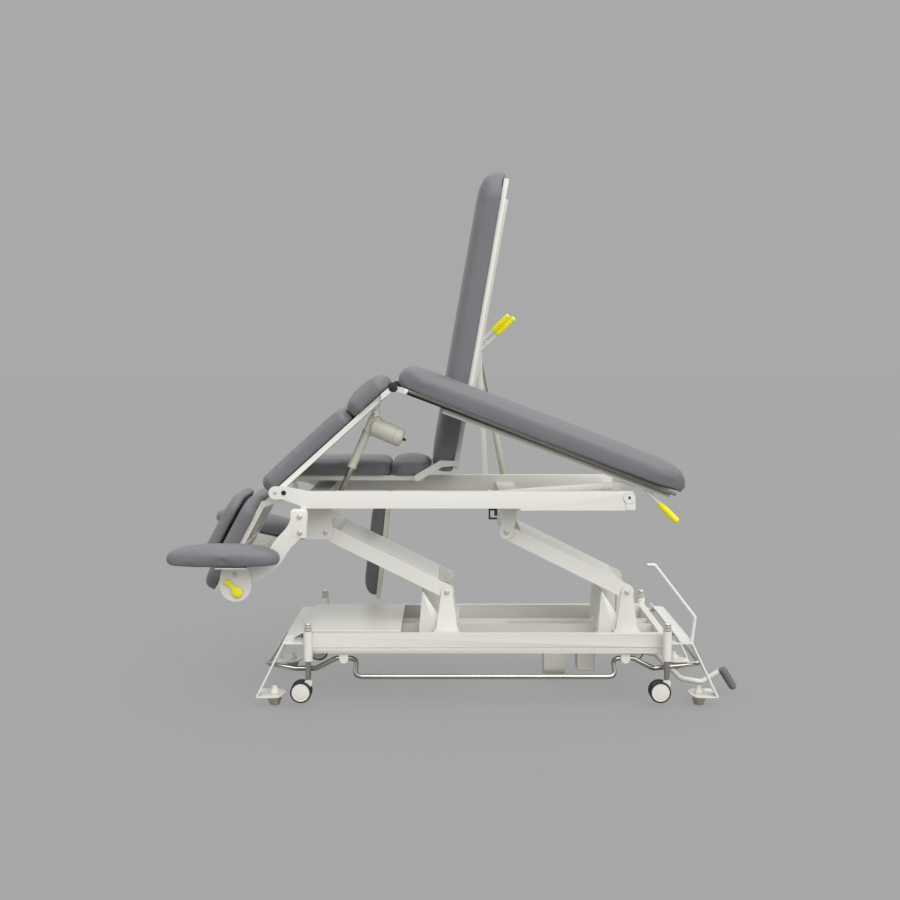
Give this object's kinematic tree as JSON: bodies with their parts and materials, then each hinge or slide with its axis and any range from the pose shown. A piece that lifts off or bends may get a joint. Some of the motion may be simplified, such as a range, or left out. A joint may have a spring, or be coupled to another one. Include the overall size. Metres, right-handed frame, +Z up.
{
  "type": "physiotherapy table",
  "caption": "Height-adjustable physiotherapy table with two lying lanes, folding long sections, tilting head section, armrests and a raised base on levelling feet.",
  "frame": {"origin": "centre of the bounding box's base, on the floor under the table", "axes": "+X towards the foot end, +Y towards the far lane, +Z up"},
  "size_m": [2.026, 0.93, 1.9367],
  "materials": {
    "white_paint": "satin powder coat",
    "upholstery": "smooth grey vinyl",
    "chrome": "polished",
    "yellow_plastic": "gloss",
    "grey_plastic": "matt",
    "black_rubber": "matt",
    "grey_rubber": "matt"
  },
  "bodies": {
    "base": {"base_frame": "white_paint", "head_end_cover": "white_paint", "foot_end_ledge": "white_paint", "lift_drive_tube": "grey_plastic", "lift_motor": "grey_plastic", "control_box": "white_paint"},
    "head_foot_near": {"head_foot_near": "chrome"},
    "head_foot_far": {"head_foot_far": "chrome"},
    "foot_foot_near": {"foot_foot_near": "chrome"},
    "foot_foot_far": {"foot_foot_far": "chrome"},
    "foot_bar": {"foot_bar": "chrome"},
    "pedal": {"pedal_arm": "white_paint", "pedal_pad": "grey_rubber"},
    "caster_post_head_near": {"caster_post_head_near": "chrome"},
    "caster_fork_head_near": {"caster_fork_head_near": "chrome"},
    "caster_wheel_head_near": {"caster_wheel_head_near": "black_rubber"},
    "caster_post_head_far": {"caster_post_head_far": "chrome"},
    "caster_fork_head_far": {"caster_fork_head_far": "chrome"},
    "caster_wheel_head_far": {"caster_wheel_head_far": "black_rubber"},
    "caster_post_foot_near": {"caster_post_foot_near": "chrome"},
    "caster_fork_foot_near": {"caster_fork_foot_near": "chrome"},
    "caster_wheel_foot_near": {"caster_wheel_foot_near": "black_rubber"},
    "caster_post_foot_far": {"caster_post_foot_far": "chrome"},
    "caster_fork_foot_far": {"caster_fork_foot_far": "chrome"},
    "caster_wheel_foot_far": {"caster_wheel_foot_far": "black_rubber"},
    "head_lift_arm": {"lift_arm_head": "white_paint"},
    "foot_lift_arm": {"lift_arm_foot": "white_paint"},
    "lift_rod": {"lift_drive_rod": "chrome"},
    "upper": {"upper_frame": "white_paint", "curved_arm_near": "white_paint", "curved_arm_far": "white_paint", "far_seat_frame": "white_paint", "far_narrow_cushion": "upholstery", "far_wide_cushion": "upholstery"},
    "thigh": {"near_thigh_frame": "white_paint", "near_narrow_cushion": "upholstery", "near_wide_cushion": "upholstery"},
    "near_leg": {"near_long_frame": "white_paint", "near_long_pad": "upholstery"},
    "near_strut": {"near_strut": "white_paint"},
    "near_handle": {"near_release_handle": "yellow_plastic"},
    "actuator_body": {"actuator_body": "grey_plastic"},
    "actuator_rod": {"actuator_rod": "chrome"},
    "far_back": {"far_long_frame": "white_paint", "far_long_pad": "upholstery"},
    "far_strut": {"far_strut": "white_paint"},
    "far_handle": {"far_release_handle": "yellow_plastic"},
    "gas_cylinder": {"gas_cylinder": "grey_plastic"},
    "gas_rod": {"gas_rod": "chrome"},
    "head": {"head_frame": "white_paint", "head_pad": "upholstery", "face_cushion": "upholstery"},
    "armrest_near": {"armrest_bracket_near": "white_paint", "armrest_pad_near": "upholstery"},
    "armrest_lever_near": {"armrest_lever_near": "yellow_plastic"},
    "armrest_far": {"armrest_bracket_far": "white_paint", "armrest_pad_far": "upholstery"},
    "armrest_lever_far": {"armrest_lever_far": "yellow_plastic"},
    "flap": {"flap_frame": "white_paint", "flap_pad": "upholstery"}
  },
  "joints": [
    {"name": "head_foot_near_screw", "type": "hinge", "parent": "base", "child": "head_foot_near", "pos_m": [-0.6686, -0.254, 0.02], "axis": [0, 0, 1], "continuous": true},
    {"name": "head_foot_far_screw", "type": "hinge", "parent": "base", "child": "head_foot_far", "pos_m": [-0.6686, 0.254, 0.02], "axis": [0, 0, 1], "continuous": true},
    {"name": "foot_foot_near_screw", "type": "hinge", "parent": "base", "child": "foot_foot_near", "pos_m": [0.8456, -0.254, 0.02], "axis": [0, 0, 1], "continuous": true},
    {"name": "foot_foot_far_screw", "type": "hinge", "parent": "base", "child": "foot_foot_far", "pos_m": [0.8456, 0.254, 0.02], "axis": [0, 0, 1], "continuous": true},
    {"name": "foot_bar_press", "type": "slide", "parent": "base", "child": "foot_bar", "axis": [0, 0, 1], "range_m": [-0.012, 0], "stiffness_N_per_m": 4000, "springref_m": 0.06},
    {"name": "pedal_turn", "type": "hinge", "parent": "base", "child": "pedal", "pos_m": [0.64, -0.11, 0.16], "axis": [0, -1, 0], "range_deg": [0, 18]},
    {"name": "caster_lower_head_near", "type": "slide", "parent": "base", "child": "caster_post_head_near", "axis": [0, 0, 1], "range_m": [-0.032, 0]},
    {"name": "caster_swivel_head_near", "type": "hinge", "parent": "caster_post_head_near", "child": "caster_fork_head_near", "pos_m": [-0.542, -0.308, 0.104], "axis": [0, 0, 1], "continuous": true},
    {"name": "caster_roll_head_near", "type": "hinge", "parent": "caster_fork_head_near", "child": "caster_wheel_head_near", "pos_m": [-0.567, -0.308, 0.062], "axis": [0, 1, 0], "continuous": true},
    {"name": "caster_lower_head_far", "type": "slide", "parent": "base", "child": "caster_post_head_far", "axis": [0, 0, 1], "range_m": [-0.032, 0]},
    {"name": "caster_swivel_head_far", "type": "hinge", "parent": "caster_post_head_far", "child": "caster_fork_head_far", "pos_m": [-0.542, 0.308, 0.104], "axis": [0, 0, 1], "continuous": true},
    {"name": "caster_roll_head_far", "type": "hinge", "parent": "caster_fork_head_far", "child": "caster_wheel_head_far", "pos_m": [-0.567, 0.308, 0.062], "axis": [0, 1, 0], "continuous": true},
    {"name": "caster_lower_foot_near", "type": "slide", "parent": "base", "child": "caster_post_foot_near", "axis": [0, 0, 1], "range_m": [-0.032, 0]},
    {"name": "caster_swivel_foot_near", "type": "hinge", "parent": "caster_post_foot_near", "child": "caster_fork_foot_near", "pos_m": [0.721, -0.308, 0.104], "axis": [0, 0, 1], "continuous": true},
    {"name": "caster_roll_foot_near", "type": "hinge", "parent": "caster_fork_foot_near", "child": "caster_wheel_foot_near", "pos_m": [0.696, -0.308, 0.062], "axis": [0, 1, 0], "continuous": true},
    {"name": "caster_lower_foot_far", "type": "slide", "parent": "base", "child": "caster_post_foot_far", "axis": [0, 0, 1], "range_m": [-0.032, 0]},
    {"name": "caster_swivel_foot_far", "type": "hinge", "parent": "caster_post_foot_far", "child": "caster_fork_foot_far", "pos_m": [0.721, 0.308, 0.104], "axis": [0, 0, 1], "continuous": true},
    {"name": "caster_roll_foot_far", "type": "hinge", "parent": "caster_fork_foot_far", "child": "caster_wheel_foot_far", "pos_m": [0.696, 0.308, 0.062], "axis": [0, 1, 0], "continuous": true},
    {"name": "lift_turn", "type": "hinge", "parent": "base", "child": "head_lift_arm", "pos_m": [-0.054, 0, 0.389], "axis": [0, 1, 0], "range_deg": [-29.5, 25.5]},
    {"name": "lift_foot_turn", "type": "hinge", "parent": "base", "child": "foot_lift_arm", "pos_m": [0.597, 0, 0.389], "axis": [0, 1, 0], "range_deg": [-29.5, 25.5]},
    {"name": "lift_level", "type": "hinge", "parent": "head_lift_arm", "child": "upper", "pos_m": [-0.49073, 0, 0.60674], "axis": [0, 1, 0], "range_deg": [-25.5, 29.5]},
    {"name": "lift_rod_slide", "type": "slide", "parent": "base", "child": "lift_rod", "axis": [1, 0, 0], "range_m": [-0.07, 0.081]},
    {"name": "thigh_raise", "type": "hinge", "parent": "upper", "child": "thigh", "pos_m": [-0.622, 0, 0.765], "axis": [0, -1, 0], "range_deg": [-42, 0]},
    {"name": "near_leg_fold", "type": "hinge", "parent": "thigh", "child": "near_leg", "pos_m": [-0.23958, 0, 1.13086], "axis": [0, -1, 0], "range_deg": [0, 62.7]},
    {"name": "near_strut_turn", "type": "hinge", "parent": "upper", "child": "near_strut", "pos_m": [0.098, -0.259, 0.755], "axis": [0, -1, 0], "range_deg": [-3.39, 0]},
    {"name": "near_handle_squeeze", "type": "hinge", "parent": "near_strut", "child": "near_handle", "pos_m": [0.63267, -0.259, 0.78323], "axis": [0, -1, 0], "range_deg": [0, 12], "stiffness_Nm_per_rad": 3, "springref_deg": -28.65},
    {"name": "actuator_turn", "type": "hinge", "parent": "thigh", "child": "actuator_body", "pos_m": [-0.30661, -0.215, 1.04091], "axis": [0, -1, 0], "range_deg": [-18.54, 0]},
    {"name": "actuator_slide", "type": "slide", "parent": "actuator_body", "child": "actuator_rod", "axis": [0.4022, 0, 0.9155], "range_m": [0, 0.095]},
    {"name": "far_back_fold", "type": "hinge", "parent": "upper", "child": "far_back", "pos_m": [-0.076, 0, 0.839], "axis": [0, -1, 0], "range_deg": [-80, 0]},
    {"name": "far_strut_turn", "type": "hinge", "parent": "upper", "child": "far_strut", "pos_m": [0.098, 0.329, 0.755], "axis": [0, -1, 0], "range_deg": [-91.88, 0]},
    {"name": "far_handle_squeeze", "type": "hinge", "parent": "far_strut", "child": "far_handle", "pos_m": [0.08144, 0.329, 1.26415], "axis": [0, -1, 0], "range_deg": [0, 12], "stiffness_Nm_per_rad": 3, "springref_deg": -28.65},
    {"name": "gas_turn", "type": "hinge", "parent": "upper", "child": "gas_cylinder", "pos_m": [0.179, 0.349, 0.728], "axis": [0, -1, 0], "range_deg": [-96.14, 0]},
    {"name": "gas_slide", "type": "slide", "parent": "gas_cylinder", "child": "gas_rod", "axis": [-0.1959, 0, 0.9806], "range_m": [-0.123, 0]},
    {"name": "head_tilt", "type": "hinge", "parent": "upper", "child": "head", "pos_m": [-0.652, 0, 0.765], "axis": [0, 1, 0], "range_deg": [-20, 61.7]},
    {"name": "armrest_tilt_near", "type": "hinge", "parent": "upper", "child": "armrest_near", "pos_m": [-0.787, -0.342, 0.459], "axis": [0, -1, 0], "range_deg": [-30, 30]},
    {"name": "armrest_clamp_near", "type": "hinge", "parent": "armrest_near", "child": "armrest_lever_near", "pos_m": [-0.813, -0.36, 0.459], "axis": [0, -1, 0], "range_deg": [0, 60]},
    {"name": "armrest_tilt_far", "type": "hinge", "parent": "upper", "child": "armrest_far", "pos_m": [-0.787, 0.342, 0.459], "axis": [0, -1, 0], "range_deg": [-30, 30]},
    {"name": "armrest_clamp_far", "type": "hinge", "parent": "armrest_far", "child": "armrest_lever_far", "pos_m": [-0.81243, 0.36, 0.46441], "axis": [0, -1, 0], "range_deg": [0, 60]},
    {"name": "flap_swing", "type": "hinge", "parent": "upper", "child": "flap", "pos_m": [-0.287, 0.3895, 0.68], "axis": [0, 1, 0], "range_deg": [-10, 35]}
  ],
  "couplings": [
    {"joint": "caster_lower_head_near", "follows": "pedal_turn", "m_per_rad": -0.10186},
    {"joint": "caster_lower_head_far", "follows": "pedal_turn", "m_per_rad": -0.10186},
    {"joint": "caster_lower_foot_near", "follows": "pedal_turn", "m_per_rad": -0.10186},
    {"joint": "caster_lower_foot_far", "follows": "pedal_turn", "m_per_rad": -0.10186},
    {"joint": "lift_foot_turn", "follows": "lift_turn", "ratio": 1},
    {"joint": "lift_level", "follows": "lift_turn", "ratio": -1},
    {"joint": "lift_rod_slide", "follows": "lift_turn", "m_per_rad": -0.1567},
    {"joint": "near_leg_fold", "follows": "thigh_raise", "ratio": -1.4929},
    {"joint": "near_strut_turn", "follows": "thigh_raise", "ratio": 0.08047},
    {"joint": "actuator_turn", "follows": "thigh_raise", "ratio": 0.44106},
    {"joint": "actuator_slide", "follows": "thigh_raise", "m_per_rad": -0.12949},
    {"joint": "far_strut_turn", "follows": "far_back_fold", "ratio": 1.1484},
    {"joint": "gas_turn", "follows": "far_back_fold", "ratio": 1.2017},
    {"joint": "gas_slide", "follows": "far_back_fold", "m_per_rad": 0.08767}
  ]
}
